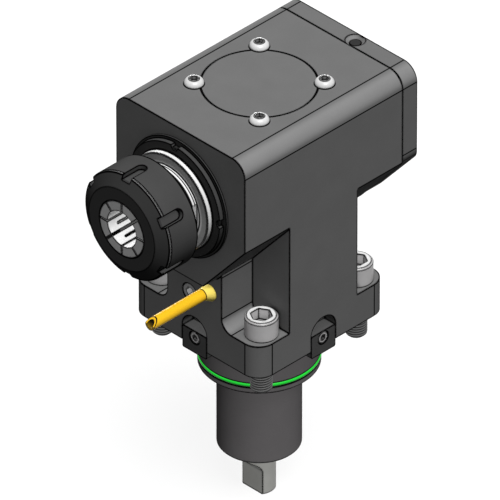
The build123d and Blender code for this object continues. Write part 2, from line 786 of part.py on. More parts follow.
def coolant_plug():
    """Set screw that closes the second coolant outlet."""
    body = post(plug_thread / 2, -plug_depth, -plug_sunk)
    body = body - hexagon_socket(plug_socket, -plug_sunk - plug_socket_depth, 0)
    return facing_front(body, plug_x, -flange_depth / 2, plug_height)


def coolant_inlet_oring():
    """Ring seal round the coolant inlet in the mounting face."""
    section = inlet_ring_thickness / 2
    return Pos(inlet_x, -inlet_y, inlet_ring_groove - section) * seal_body(inlet_radius + section, section)


def drive_bearing_nut():
    """Threaded ring over the outer rings of the drive bearings."""
    return slotted_nut(
        drive_bearing_outer / 2 - ring_wall, top_opening_radius - running_gap, drive_bearing_top,
        drive_bearing_top + bearing_nut_width)


def lower_circlip():
    """Snap ring under the lower bearing, open at one side."""
    high = lower_bearing_bottom
    bore = lower_bearing_outer / 2
    body = ring(bore - circlip_lip, bore + circlip_bite, high - circlip_width, high)
    across = 2 * (circlip_lip + circlip_bite)
    gap = Pos(bore, 0, high) * Box(across, circlip_opening, 2 * circlip_width + overrun)
    return body - gap


def drive_shaft_seal():
    """Lip seal at the shank's end."""
    top = lower_bearing_bottom - circlip_width - shaft_seal_gap
    inner = lower_bearing_bore_diameter / 2 + running_gap
    return ring(inner, lower_bearing_outer / 2, shank_bottom + shaft_seal_sink, top)


# Spindle, collet and clamping nut

def socket_radius(distance):
    """Radius of the taper socket at a distance from the drive axis."""
    collet_start = nut_face - collet_front_cone - collet_front_land - collet_groove
    return collet_body_radius + cone_gap - (collet_start - distance) * tan(radians(taper_angle))


def spindle_shaft():
    """Spindle from its threaded nose to its rear lock nut thread, with the taper socket."""
    nose = nose_diameter / 2
    seat = front_bearing_bore_diameter / 2
    core = rear_bearing_bore_diameter / 2
    socket_end = nut_face - collet_length - socket_end_gap
    thread_end = rear_bearing_back + lock_washer + lock_nut_width + end_gap
    body = turned([
        (socket_radius(spindle_front), -spindle_front),
        (nose_thread_diameter / 2 - thread_chamfer, -spindle_front),
        (nose_thread_diameter / 2, thread_chamfer - spindle_front),
        (nose_thread_diameter / 2, -nut_back - thread_runout), (nose, -nut_back + thread_runout),
        (nose, -collar_front), (collar_radius - collar_edge, -collar_front),
        (collar_radius, collar_edge - collar_front), (collar_radius, -collar_back),
        (seal_journal_radius, -collar_back), (seal_journal_radius, -front_bearing_front),
        (seat, -front_bearing_front), (seat, -front_bearing_back), (core, -front_bearing_back),
        (core, thread_end - thread_chamfer), (core - thread_chamfer, thread_end), (0, thread_end),
        (0, socket_bottom - socket_end), (socket_radius(socket_end) - socket_step, -socket_end),
        (socket_radius(socket_end), -socket_end)])
    for side in (-1, 1):
        flat = Pos(side * wrench_flats / 2, 0, -nut_back - thread_runout) * Box(
            nose_diameter, nose_diameter, nut_back + thread_runout - collar_front,
            align=(Align.MIN if side > 0 else Align.MAX, Align.CENTER, Align.MIN))
        body = body - flat
    key_room = Pos(0, 0, gear_back - gear_hub_length) * gear_keyway(core, gear_hub_length)
    return on_spindle(body - key_room)


def output_gear_key():
    """Key between the spindle and its gear."""
    key = gear_keyway(rear_bearing_bore_diameter / 2, gear_hub_length)
    return on_spindle(Pos(0, 0, gear_back - gear_hub_length) * key)


def spindle_sleeve():
    """Distance sleeve from the front bearings to the gear, coned to clear the input gear."""
    core = rear_bearing_bore_diameter / 2 + seat_gap
    body = small_end * (pitch_radius - addendum) - 2 * air_gap
    widest = front_bearing_back - (gear_tip_radius - pitch_radius + addendum) - end_gap
    return on_spindle(turned([
        (core, -front_bearing_back), (widest, -front_bearing_back),
        (body, widest - body - front_bearing_back), (body, gear_front), (core, gear_front)]))


def spindle_lock_washer():
    """Washer under the spindle's rear lock nut."""
    core = rear_bearing_bore_diameter / 2
    return on_spindle(ring(
        core + seat_gap, core + lock_nut_wall, rear_bearing_back, rear_bearing_back + lock_washer))


def spindle_lock_nut():
    """Slotted nut that clamps the spindle's bearings, sleeve and gear."""
    core = rear_bearing_bore_diameter / 2
    low = rear_bearing_back + lock_washer
    return on_spindle(slotted_nut(core + running_gap, core + lock_nut_wall, low, low + lock_nut_width))


def collet():
    """Spring collet with slots cut in turn from its two ends."""
    grip = collet_bore / 2
    relief = collet_relief / 2
    land = collet_front_cone + collet_front_land
    body_start = land + collet_groove
    end_radius = collet_body_radius - (collet_length - body_start) * tan(radians(taper_angle))
    body = turned([
        (grip, 0), (collet_face_radius, 0), (collet_body_radius, collet_front_cone),
        (collet_body_radius, land), (collet_groove_radius, land), (collet_groove_radius, body_start),
        (collet_body_radius, body_start), (end_radius, collet_length), (relief, collet_length),
        (relief, collet_grip), (grip, collet_grip)])
    reach = collet_body_radius + overrun
    front = Pos(0, 0, -overrun) * Box(
        reach, jaw_slot_width, collet_length - front_slot_stop + overrun,
        align=(Align.MIN, Align.CENTER, Align.MIN))
    rear = Pos(0, 0, rear_slot_stop) * Box(
        reach, jaw_slot_width, collet_length, align=(Align.MIN, Align.CENTER, Align.MIN))
    half_step = 180 / jaw_slots
    body = body - around(front, jaw_slots) - around(rear, jaw_slots, half_step)
    return on_spindle(Pos(0, 0, -nut_face) * body)


def clamping_nut():
    """Round nut with six wrench slots, an inner cone and a lip that pulls the collet out."""
    outer = nut_diameter / 2
    slope = (collet_body_radius - collet_face_radius) / collet_front_cone
    cone_start = (nut_opening_radius - collet_face_radius - cone_gap) / slope
    land = collet_front_cone + collet_front_land
    inside = collet_body_radius + collet_play
    relief = inside + nut_relief
    lip = collet_groove_radius + collet_groove_play
    thread_start = nut_thread_start - nut_thread_relief
    lip_back = land + collet_groove - lip_gap
    thread = nose_thread_diameter / 2 + running_gap
    body = turned([
        (nut_opening_radius, 0), (nut_face_radius, 0), (outer - nut_edge, nut_cone_length),
        (outer, nut_cone_length + nut_edge), (outer, nut_length - nut_edge), (outer - nut_edge, nut_length),
        (thread, nut_length), (thread, thread_start), (relief, thread_start), (relief, lip_back),
        (lip, lip_back), (lip, land + lip_gap), (inside, land + lip_gap), (inside, collet_front_cone),
        (nut_opening_radius, cone_start)])
    wall = nut_slot_depth + overrun
    length = nut_slot_length + overrun
    slot = Box(wall, nut_slot_width, length, align=(Align.MIN, Align.CENTER, Align.MIN))
    end = Rot(0, 90, 0) * Cylinder(
        nut_slot_width / 2, wall, align=(Align.CENTER, Align.CENTER, Align.MIN))
    cutter = Pos(outer - nut_slot_depth, 0, -overrun) * (slot + Pos(0, 0, length) * end)
    half_step = 180 / nut_slots
    return on_spindle(Pos(0, 0, -nut_face) * (body - around(cutter, nut_slots, half_step)))


# Drive shaft

def drive_shaft():
    """Drive shaft from the input gear down to its tang."""
    seat = gear_seat_diameter / 2
    bearing = drive_bearing_bore_diameter / 2
    core = shaft_body_diameter / 2
    lower = lower_bearing_bore_diameter / 2
    tang = tang_diameter / 2
    top = crossing - gear_front + shaft_end
    thread_low = drive_bearing_bottom - lock_washer - lock_nut_width - end_gap
    foot = shank_bottom - tang_length
    body = turned([
        (0, top), (seat - thread_chamfer, top), (seat, top - thread_chamfer), (seat, drive_bearing_top),
        (bearing, drive_bearing_top), (bearing, thread_low), (core, thread_low - thread_chamfer),
        (core, lower_bearing_top + thread_chamfer), (lower, lower_bearing_top),
        (lower, shank_bottom + thread_chamfer), (tang, shank_bottom), (tang, foot + tang_edge),
        (tang - tang_edge, foot), (0, foot)])
    for side in (-1, 1):
        body = body - tang_flat(side)
    key_room = Pos(0, 0, drive_bearing_top) * gear_keyway(seat, gear_hub_length)
    return body - key_room


def tang_flat(side):
    """Cutter of one flat of the tang, with a rounded run-out at its top."""
    foot = shank_bottom - tang_length
    depth = tang_diameter
    align = (Align.CENTER, Align.MIN if side > 0 else Align.MAX, Align.MIN)
    block = Pos(0, side * tang_thickness / 2, foot - overrun) * Box(
        2 * tang_diameter, depth, tang_flat_length + overrun, align=align)
    round_end = Pos(0, side * (tang_thickness / 2 + tang_runout_radius), foot + tang_flat_length) * (
        Rot(0, 90, 0) * Cylinder(tang_runout_radius, 2 * tang_diameter))
    return block + round_end


def input_gear_key():
    """Key between the drive shaft and its gear."""
    return Pos(0, 0, drive_bearing_top) * gear_keyway(gear_seat_diameter / 2, gear_hub_length)


def gear_lock_nut():
    """Nut that holds the input gear on the drive shaft."""
    high = crossing - gear_front
    return slotted_nut(gear_seat_diameter / 2 + running_gap, gear_nut_radius, high - gear_nut_width, high)


def drive_lock_washer():
    """Washer over the drive shaft's lock nut."""
    bearing = drive_bearing_bore_diameter / 2
    return ring(
        bearing + seat_gap, bearing + lock_nut_wall, drive_bearing_bottom - lock_washer, drive_bearing_bottom)


def drive_lock_nut():
    """Slotted nut that clamps the drive bearings against the gear."""
    bearing = drive_bearing_bore_diameter / 2
    high = drive_bearing_bottom - lock_washer
    return slotted_nut(bearing + running_gap, bearing + lock_nut_wall, high - lock_nut_width, high)


def all_parts():
    """Every sub-part by its name."""
    front_inner, front_outer = bearing_rings(
        front_bearing_bore_diameter, front_bearing_outer, front_bearing_width, -front_bearing_front, 2)
    rear_inner, rear_outer = bearing_rings(
        rear_bearing_bore_diameter, rear_bearing_outer, rear_bearing_width, rear_bearing_front, 1)
    drive_inner, drive_outer = bearing_rings(
        drive_bearing_bore_diameter, drive_bearing_outer, drive_bearing_width, drive_bearing_bottom, 2)
    lower_inner, lower_outer = bearing_rings(
        lower_bearing_bore_diameter, lower_bearing_outer, lower_bearing_width, lower_bearing_bottom, 1)
    keys = dict(zip(("right", "rear", "left", "front"), key_places(locating_key())))
    parts = {
        "housing": housing(),
        "top_cover": top_cover(),
        "top_cover_oring": top_cover_oring(),
        "top_cover_screws": top_cover_screws(),
        "rear_cover": rear_cover(),
        "rear_cover_oring": rear_cover_oring(),
        "rear_cover_screws": rear_cover_screws(),
        "rear_port_plug": rear_port_plug(),
        "front_ring": front_ring(),
        "spindle_seal": spindle_seal(),
        "front_bearing_outer_rings": [on_spindle(shape) for shape in front_outer],
        "front_bearing_inner_rings": [on_spindle(shape) for shape in front_inner],
        "rear_bearing_outer_ring": [on_spindle(shape) for shape in rear_outer],
        "rear_bearing_inner_ring": [on_spindle(shape) for shape in rear_inner],
        "drive_bearing_outer_rings": drive_outer,
        "drive_bearing_inner_rings": drive_inner,
        "drive_bearing_nut": drive_bearing_nut(),
        "lower_bearing_outer_ring": lower_outer,
        "lower_bearing_inner_ring": lower_inner,
        "lower_circlip": lower_circlip(),
        "drive_shaft_seal": drive_shaft_seal(),
        "pilot_oring": pilot_oring(),
        "mounting_screws": mounting_screws(),
        "key_screws": key_places(key_screw()),
        "coolant_nozzle": coolant_nozzle(),
        "coolant_plug": coolant_plug(),
        "coolant_inlet_oring": coolant_inlet_oring(),
        "spindle_shaft": spindle_shaft(),
        "spindle_sleeve": spindle_sleeve(),
        "output_gear": output_gear(),
        "output_gear_key": output_gear_key(),
        "spindle_lock_washer": spindle_lock_washer(),
        "spindle_lock_nut": spindle_lock_nut(),
        "drive_shaft": drive_shaft(),
        "input_gear": input_gear(),
        "input_gear_key": input_gear_key(),
        "gear_lock_nut": gear_lock_nut(),
        "drive_lock_washer": drive_lock_washer(),
        "drive_lock_nut": drive_lock_nut(),
        "collet": collet(),
        "clamping_nut": clamping_nut(),
    }
    for side, key in keys.items():
        parts["locating_key_" + side] = key
    return parts


def write_parts():
    """Write each sub-part to a file of its own, solids of a group side by side."""
    os.makedirs("parts", exist_ok=True)
    for name, shape in all_parts().items():
        shapes = shape if isinstance(shape, list) else [shape]
        solids = [solid for item in shapes for solid in item.solids()]
        export_step(solids[0] if len(solids) == 1 else Compound(children=solids), "parts/" + name + ".step")


write_parts()
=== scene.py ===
import json
from math import cos, hypot, pi, sin

import bpy
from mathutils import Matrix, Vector


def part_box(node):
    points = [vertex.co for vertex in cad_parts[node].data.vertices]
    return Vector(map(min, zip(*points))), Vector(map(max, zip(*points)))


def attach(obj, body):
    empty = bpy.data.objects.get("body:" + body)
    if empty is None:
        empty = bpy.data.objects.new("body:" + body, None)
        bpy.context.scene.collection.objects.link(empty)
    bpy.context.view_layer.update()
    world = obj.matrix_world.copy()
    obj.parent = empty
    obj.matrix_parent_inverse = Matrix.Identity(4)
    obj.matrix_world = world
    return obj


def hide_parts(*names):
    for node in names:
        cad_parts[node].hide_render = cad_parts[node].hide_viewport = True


# Looks of the live tool holder. Lengths are in metres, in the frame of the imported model.
# The origin is the centre of the mounting face, +Z is up and the spindle nose points along -Y.

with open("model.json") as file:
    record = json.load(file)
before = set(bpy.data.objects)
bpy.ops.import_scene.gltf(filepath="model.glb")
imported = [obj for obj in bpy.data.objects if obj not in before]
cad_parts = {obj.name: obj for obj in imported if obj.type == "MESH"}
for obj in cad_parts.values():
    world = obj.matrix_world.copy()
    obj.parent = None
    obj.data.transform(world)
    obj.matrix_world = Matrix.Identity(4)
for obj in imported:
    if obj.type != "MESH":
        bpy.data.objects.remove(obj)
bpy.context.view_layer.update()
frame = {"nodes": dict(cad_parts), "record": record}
scene = bpy.context.scene

MM = 0.001


def centre(node):
    """The middle of a CAD node's box."""
    low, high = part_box(node)
    return (low + high) / 2


# Housing, flange and pilot
HOUSING_LOW, HOUSING_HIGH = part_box("housing")
HEAD_TOP = HOUSING_HIGH.z
HEAD_HALF_WIDTH = HOUSING_HIGH.x
HEAD_FRONT = HOUSING_LOW.y
HEAD_TOP_RADIUS = 9.4 * MM
SIDE_BOTTOM = 87.1 * MM             # lowest edge of the head's sides
COVER_FRONT = HOUSING_HIGH.y        # where the head ends and the rear cover begins
COVER_CORNER_TOP = 91.8 * MM        # upper edge of the rear cover's lower corner
FRONT_SHADE_LOW = 65 * MM           # the head's front darkens from here
FRONT_SHADE_HIGH = 95 * MM          # up to here
NECK_HALF_WIDTH = 20.0 * MM
WEB_HALF_DEPTH = 25.0 * MM
POCKET_RADIUS = 7.0 * MM
POCKET_TOP = 53.2 * MM
FLANGE_THICKNESS = 20.1 * MM
FLANGE_HALF_DEPTH = 47.75 * MM
FLANGE_CORNER = 10.1 * MM
PILOT_BOTTOM = -32.0 * MM
SHANK_BOTTOM = HOUSING_LOW.z
TANG_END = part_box("drive_shaft")[0].z
PILOT_RING_HEIGHT = centre("pilot_oring").z
PILOT_RING_RADIUS = 31.55 * MM
PILOT_RING_SECTION = 1.3 * MM

# Mounting screws
BOLT_X = 36.5 * MM
BOLT_Y = 35.0 * MM
BOLT_PLACES = [(x, y) for x in (-BOLT_X, BOLT_X) for y in (-BOLT_Y, BOLT_Y)]
BOLT_RADIUS = 6.0 * MM
BOLT_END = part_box("mounting_screws")[0].z
BOLT_THREAD_RADIUS = BOLT_RADIUS - 0.02 * MM
BOLT_THREAD_DEPTH = 0.5 * MM
BOLT_THREAD_TOP = 2.0 * MM
BOLT_POINT = 1.3 * MM               # how much thinner the screw's end is
SOCKET_TURN = pi / 6
STUD_TOP = 0.05 * MM                # the plain stud is below this, and is thinned to hide inside its thread
STUD_SCALE = 0.8
STUD_LIFT = 0.2 * MM
THREAD_PITCH = 1.5 * MM             # of the mounting screws and of the nose
THREAD_FLAT = 0.1                   # share of each flank that is flat at the crest, and again at the root

# Cover screws
TOP_SCREW_PLACE = 23.93 * MM
BUTTON_RADIUS = 5.25 * MM
BUTTON_TOP_RADIUS = 2.9 * MM

# Spindle, collet and nut
SPINDLE_HEIGHT = centre("clamping_nut").z
COLLAR_FRONT = -66.2 * MM
COLLAR_PAINTED_LIGHT_BELOW = SPINDLE_HEIGHT - 26 * MM        # the collar's face has painted light below here
COLLAR_PAINTED_SHADE_ABOVE = SPINDLE_HEIGHT + 16 * MM          # and painted shade above here
UNDERCUT_LINES = (                  # how far in front of the collar each dark line is, and half its width
    (0.2 * MM, 0.3 * MM), (1.45 * MM, 0.36 * MM), (3.4 * MM, 0.5 * MM))
WRENCH_FLAT = 20.5 * MM
NOSE_RADIUS = 22.5 * MM
NOSE_THREAD_RADIUS = 24.9 * MM
NOSE_THREAD_DEPTH = 0.9 * MM
NOSE_THREAD_BACK = -76.6 * MM
NOSE_THREAD_FRONT = -87.9 * MM
NOSE_THREAD_BORE = 22.8 * MM
NOSE_CORE = NOSE_THREAD_RADIUS - 1.2 * MM       # radius of the spindle inside its nose thread
NOSE_PLAY = 0.1 * MM
NOSE_SHIFT = 0.05 * MM              # the thinned stretch also moves back by this
NUT_LOW, NUT_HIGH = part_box("clamping_nut")
NUT_RADIUS = NUT_HIGH.x
NUT_SLOPE = 4.5 * MM                # depth of the nut's sloped face
NUT_EDGE = NUT_LOW.y + NUT_SLOPE
NUT_BACK = NUT_HIGH.y
NUT_HIGHLIGHT_START = 10 * MM            # the nut's edge gets a painted highlight from this far up and right
NUT_HIGHLIGHT_FULL = 30 * MM
COLLET_BORE = 10.5 * MM

# Coolant nozzle and plug
NOZZLE_LOW, NOZZLE_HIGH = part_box("coolant_nozzle")
NOZZLE_OFFSET = 1.3 * MM            # how much higher the pipe stands than its foot
NOZZLE_AXIS = (centre("coolant_nozzle").x, centre("coolant_nozzle").z + NOZZLE_OFFSET)
NOZZLE_TIP = NOZZLE_LOW.y
NOZZLE_END = NOZZLE_HIGH.y
NOZZLE_BORE = 2.1 * MM
NOZZLE_RADIUS = 3.3 * MM
NOZZLE_TIP_RADIUS = 3.2 * MM
NOZZLE_THREAD_RADIUS = 4.0 * MM
NOZZLE_FOOT_RADIUS = (NOZZLE_HIGH.x - NOZZLE_LOW.x) / 2
NOZZLE_FOOT = 1.0 * MM
NOZZLE_FLARE = 5.8 * MM
NOZZLE_JOINT = -FLANGE_HALF_DEPTH - NOZZLE_FLARE
NOZZLE_CUT = 1.2                    # how far the tip's upper half leans back for each step up
PLUG_AXIS = (centre("coolant_plug").x, centre("coolant_plug").z)
PLUG_SOCKET = 1.5 * MM

# Paint
BLOTCHES = 18 * MM
FINE_GRAIN = 0.9 * MM
GRAIN_DEPTH = 0.05 * MM
GRAIN_STRENGTH = 0.12
NOISE_LOW = 0.3                     # noise mostly stays between these
NOISE_HIGH = 0.7
ROUGHNESS_SPREAD = 0.04
SURFACE_SAMPLES = 8
SEAM = 0.42 * MM                    # half widths of painted lines
THIN_LINE = 0.3 * MM
END_LINE = 0.35 * MM
NEAR = 0.5 * MM                     # how near a surface counts as that surface
WHITE = (1.0, 1.0, 1.0)
WARM = (1.0, 0.955, 0.975)
# Painted highlight on the nozzle's foot, the nozzle's darker end, painted shade in its bore, and painted
# shade on the green ring's lower half
BRASS_FOOT_HIGHLIGHT = ((0.90, 0.70, 0.13, 1.0), (0.98, 0.78, 0.16, 1.0))
BRASS_END = (0.33, 0.20, 0.014, 1.0)
BRASS_BORE_SHADE = (0.05, 0.03, 0.003, 1.0)
GREEN_SHADE = (0.004, 0.05, 0.006, 1.0)

# Steps round the pieces made here
RING_STEPS = 160
SECTION_STEPS = 24
BOLT_STEPS = 72
NOSE_STEPS = 180
NOZZLE_STEPS = 96
THREAD_ROWS = 14                    # rows in each turn of a thread
NOZZLE_SHARP = 0.5                  # edges that turn by more than this many radians stay sharp

# Camera: the photograph looks down a cube's diagonal, at 1.92 pixels to a millimetre
VIEW_DIRECTION = Vector((1, -1, 1)).normalized()
VIEW_TARGET = Vector((0, -6.85 * MM, 40.8 * MM))
VIEW_WIDTH = 260.4 * MM
CAMERA_LENS = 1550.0
CAMERA_SENSOR = 36.0
CAMERA_NEAR = 0.1
CAMERA_FAR = 60.0

# Light and stage
KEY_DIRECTION = Vector((0.375, -0.165, 0.92))
BACK_DIRECTION = Vector((-0.68, 0.66, 0.0))
BACK_STRENGTH = 1.6                 # even light on the sides that the photograph doesn't show
FILL_STRENGTH = 3.6                 # even light that fills bores and pockets
EVEN_ANGLE = 0.3
SHADE_STRENGTH = 0.85               # soft light that casts the shadows
SHADE_ANGLE = 0.7
DOME_LOW = -0.2                     # the dome brightens from this height of direction
DOME_HIGH = 0.9
DOME_DIM = 0.01
DOME_BRIGHT = 0.22
FLOOR_HEIGHT = TANG_END - 0.2 * MM
FLOOR_SIZE = 6.0
FLOOR_SEEN = 0.76                   # looks white in this light
FLOOR_BOUNCE = 0.06                 # throws little light back


# Materials

def grey(value, tint=WHITE):
    return (value * tint[0], value * tint[1], value * tint[2], 1.0)


class Wiring:
    """Wires a tree of nodes by small steps. Its masks are 1 where something applies and 0 elsewhere."""

    def __init__(self, tree):
        self.tree = tree

    def node(self, kind, **settings):
        made = self.tree.nodes.new(kind)
        for key, value in settings.items():
            setattr(made, key, value)
        return made

    def link(self, source, target):
        """Join an output to an input, or set the input to a number or a colour."""
        if isinstance(source, (int, float, tuple)):
            target.default_value = source
        else:
            self.tree.links.new(source, target)

    def split(self, vector):
        """The three coordinates of a vector."""
        parts = self.node("ShaderNodeSeparateXYZ")
        self.link(vector, parts.inputs[0])
        return parts.outputs[0], parts.outputs[1], parts.outputs[2]

    def math(self, operation, first, second=0.0):
        made = self.node("ShaderNodeMath", operation=operation)
        self.link(first, made.inputs[0])
        self.link(second, made.inputs[1])
        return made.outputs[0]

    def overlap(self, mask, *others):
        """Where all of these masks are 1."""
        for other in others:
            mask = self.math("MULTIPLY", mask, other)
        return mask

    def union(self, mask, *others):
        """Where any of these masks is 1."""
        for other in others:
            mask = self.math("MAXIMUM", mask, other)
        return mask

    def ramp(self, value, low, high, start=0.0, end=1.0, form="SMOOTHSTEP"):
        """A value mapped from low..high to start..end."""
        made = self.node("ShaderNodeMapRange", interpolation_type=form)
        self.link(value, made.inputs["Value"])
        made.inputs["From Min"].default_value = low
        made.inputs["From Max"].default_value = high
        made.inputs["To Min"].default_value = start
        made.inputs["To Max"].default_value = end
        return made.outputs[0]

    def fall(self, value, low, high, form="SMOOTHSTEP"):
        """1 up to low, and 0 from high up."""
        return self.ramp(value, low, high, 1.0, 0.0, form)

    def mix(self, factor, first, second):
        made = self.node("ShaderNodeMix", data_type="RGBA")
        self.link(factor, made.inputs[0])
        self.link(first, made.inputs[6])
        self.link(second, made.inputs[7])
        return made.outputs[2]


class Paint(Wiring):
    """A procedural material. Most of its masks go by the place on the object or by its own normal."""

    def __init__(self, name, contrast):
        self.material = bpy.data.materials.new(name)
        self.material.use_nodes = True
        super().__init__(self.material.node_tree)
        self.shader = self.tree.nodes["Principled BSDF"]
        coordinates = self.node("ShaderNodeTexCoord").outputs
        self.place = coordinates["Object"]
        self.x, self.y, self.z = self.split(self.place)
        self.across = self.math("ABSOLUTE", self.x)
        self.along = self.math("ABSOLUTE", self.y)
        self.right, self.back, self.up = self.split(coordinates["Normal"])
        self.fine = self.noise(FINE_GRAIN, 2.0)
        slow = self.math("MULTIPLY", self.noise(BLOTCHES, 3.0), 1 - contrast)
        both = self.math("ADD", slow, self.math("MULTIPLY", self.fine, contrast))
        self.tone = self.ramp(both, NOISE_LOW, NOISE_HIGH)
        self.colour = None

    def noise(self, size, detail):
        """Noise whose blotches are about this size."""
        made = self.node("ShaderNodeTexNoise")
        self.link(self.place, made.inputs["Vector"])
        made.inputs["Scale"].default_value = 1 / size
        made.inputs["Detail"].default_value = detail
        return made.outputs[0]

    def between(self, dark, light, tint=WHITE):
        """A colour that wanders between two greys, or two shades of a tint, with the blotches."""
        return self.mix(self.tone, grey(dark, tint), grey(light, tint))

    def coat(self, mask, colour):
        """Cover what is painted so far with a colour, where the mask is 1."""
        self.colour = self.mix(mask, self.colour, colour)

    def edges(self, radius):
        """1 on the sharp edges of the piece, over this radius, and 0 elsewhere."""
        bevel = self.node("ShaderNodeBevel", samples=SURFACE_SAMPLES)
        bevel.inputs["Radius"].default_value = radius
        geometry = self.node("ShaderNodeNewGeometry")
        turn = self.node("ShaderNodeVectorMath", operation="DOT_PRODUCT")
        self.link(bevel.outputs[0], turn.inputs[0])
        self.link(geometry.outputs["Normal"], turn.inputs[1])
        return self.fall(turn.outputs["Value"], 0.985, 0.999)

    def crevices(self, distance):
        """1 inside narrow slots, sockets and corners, and 0 in the open."""
        found = self.node("ShaderNodeAmbientOcclusion", samples=SURFACE_SAMPLES)
        found.inputs["Distance"].default_value = distance
        return self.fall(found.outputs["AO"], 0.15, 0.75)

    def facing_front(self):
        """1 on faces that look along -Y."""
        return self.fall(self.back, -0.95, -0.85)

    def facing_down(self):
        """1 on faces that look well downwards."""
        return self.fall(self.up, -0.5, -0.25)

    def facing_up(self):
        """1 on faces that look straight up."""
        return self.ramp(self.up, 0.85, 0.95)

    def rounded(self):
        """1 in the middle of rounded edges that run along Y and look up, and 0 on flats and walls."""
        slant = self.math("MULTIPLY", self.math("ABSOLUTE", self.right), self.up)
        return self.ramp(slant, 0.05, 0.45)

    def distance(self, first, second, middle):
        """Distance of two coordinates from a middle."""
        squares = []
        for value, start in ((first, middle[0]), (second, middle[1])):
            off = self.math("SUBTRACT", value, start)
            squares.append(self.math("MULTIPLY", off, off))
        return self.math("SQRT", self.math("ADD", *squares))

    def band(self, value, middle, half_width):
        """1 where a value is at a middle, falling softly to a half at this half width."""
        away = self.math("ABSOLUTE", self.math("SUBTRACT", value, middle))
        return self.fall(away, 0.6 * half_width, 1.4 * half_width)

    def beyond(self, value, wall):
        """1 on a wall that stands at this value, and past it."""
        return self.ramp(value, wall - 0.3 * MM, wall - 0.2 * MM)

    def bump(self, height, strength, depth):
        made = self.node("ShaderNodeBump")
        made.inputs["Strength"].default_value = strength
        made.inputs["Distance"].default_value = depth
        self.link(height, made.inputs["Height"])
        self.link(made.outputs[0], self.shader.inputs["Normal"])


finishes = {}


def metal(name, dark, light, line, roughness, metallic=0.0, specular=0.3, tint=WHITE,
          line_width=1.1 * MM, contrast=0.35, zones=None, extra_lines=None, crevice=2.5 * MM):
    """Machined metal: slow blotches, fine grain, painted shade in crevices and a thin dark line along the
    edges.
    """
    paint = Paint(name, contrast)
    paint.colour = paint.between(dark, light, tint)
    if zones:
        zones(paint)
    lines = paint.edges(line_width)
    if extra_lines:
        lines = paint.union(lines, extra_lines(paint))
    paint.coat(lines, grey(line))
    # Painted shade: slots, sockets and corners are darkened to the grey of the lines
    paint.coat(paint.crevices(crevice), grey(line))
    paint.link(paint.colour, paint.shader.inputs["Base Color"])
    low, high = roughness - ROUGHNESS_SPREAD, roughness + ROUGHNESS_SPREAD
    uneven = paint.ramp(paint.fine, NOISE_LOW, NOISE_HIGH, low, high)
    paint.link(uneven, paint.shader.inputs["Roughness"])
    paint.shader.inputs["Metallic"].default_value = metallic
    paint.shader.inputs["Specular IOR Level"].default_value = specular
    paint.bump(paint.fine, GRAIN_STRENGTH, GRAIN_DEPTH)
    finishes[name] = paint.material


# Zones of the housing and its covers

def on_cover(paint):
    """1 on the rear cover."""
    return paint.ramp(paint.y, COVER_FRONT, COVER_FRONT + 0.1 * MM)


def off_web(paint):
    """1 in front of and behind the web across the neck."""
    return paint.beyond(paint.along, WEB_HALF_DEPTH + 0.4 * MM)


def black_zones(paint):
    """Painted light and shade on the black steel.

    The head's front is painted darker, as painted shade. Its rounded edges get a painted highlight and its
    underside painted light. The rear cover's lower corner gets painted shade, and the pilot and the shank are
    painted lighter, as painted light, and faintly warm.
    """
    # Painted shade on the head's front, growing towards its top
    front = paint.overlap(paint.facing_front(), paint.fall(paint.y, HEAD_FRONT + 1 * MM, HEAD_FRONT + 2 * MM),
                          paint.ramp(paint.z, FRONT_SHADE_LOW, FRONT_SHADE_HIGH))
    paint.coat(front, paint.between(0.101, 0.109))
    # Painted highlight along the rounded upper edges
    paint.coat(paint.rounded(), paint.between(0.176, 0.188))
    # Painted shade on the rear cover's lower corner
    corner = paint.overlap(paint.fall(paint.z, SIDE_BOTTOM + 1 * MM, COVER_CORNER_TOP, "LINEAR"),
                           on_cover(paint), paint.beyond(paint.across, HEAD_HALF_WIDTH))
    paint.coat(corner, grey(0.030))
    # Painted light on faces that look downwards
    paint.coat(paint.facing_down(), paint.between(0.150, 0.164))
    # Pilot and shank painted lighter, as painted light, and faintly warm
    foot = paint.fall(paint.z, -0.4 * MM, -0.2 * MM)
    paint.coat(foot, paint.between(0.143, 0.155, WARM))


def seam(paint, value, place, *masks):
    """A thin line where a value reaches a place, within these masks."""
    return paint.overlap(paint.band(value, place, SEAM), *masks)


def head_seams(paint):
    """Where the head's top and sides run into its rounded upper edges."""
    top = seam(paint, paint.across, HEAD_HALF_WIDTH - HEAD_TOP_RADIUS, paint.beyond(paint.z, HEAD_TOP))
    side = seam(paint, paint.z, HEAD_TOP - HEAD_TOP_RADIUS, paint.beyond(paint.across, HEAD_HALF_WIDTH))
    return paint.union(top, side)


def flange_seams(paint):
    """Where the flange's sides run into its rounded corners."""
    on_front = paint.beyond(paint.along, FLANGE_HALF_DEPTH)
    on_side = paint.beyond(paint.across, HEAD_HALF_WIDTH)
    front = seam(paint, paint.across, HEAD_HALF_WIDTH - FLANGE_CORNER, on_front)
    side = seam(paint, paint.along, FLANGE_HALF_DEPTH - FLANGE_CORNER, on_side)
    low = paint.fall(paint.z, FLANGE_THICKNESS + 0.1 * MM, FLANGE_THICKNESS + 0.3 * MM)
    return paint.overlap(paint.union(front, side), low)


def pocket_seams(paint):
    """Where the bolt pockets' floor and walls run into each other, and the edge above the pockets."""
    on_floor = paint.band(paint.z, FLANGE_THICKNESS, NEAR)
    on_neck = paint.band(paint.across, NECK_HALF_WIDTH, NEAR)
    floor = seam(paint, paint.across, NECK_HALF_WIDTH + POCKET_RADIUS, on_floor)
    wall = seam(paint, paint.z, FLANGE_THICKNESS + POCKET_RADIUS, on_neck)
    roof = seam(paint, paint.z, POCKET_TOP, on_neck)
    return paint.overlap(paint.union(floor, wall, roof), off_web(paint))


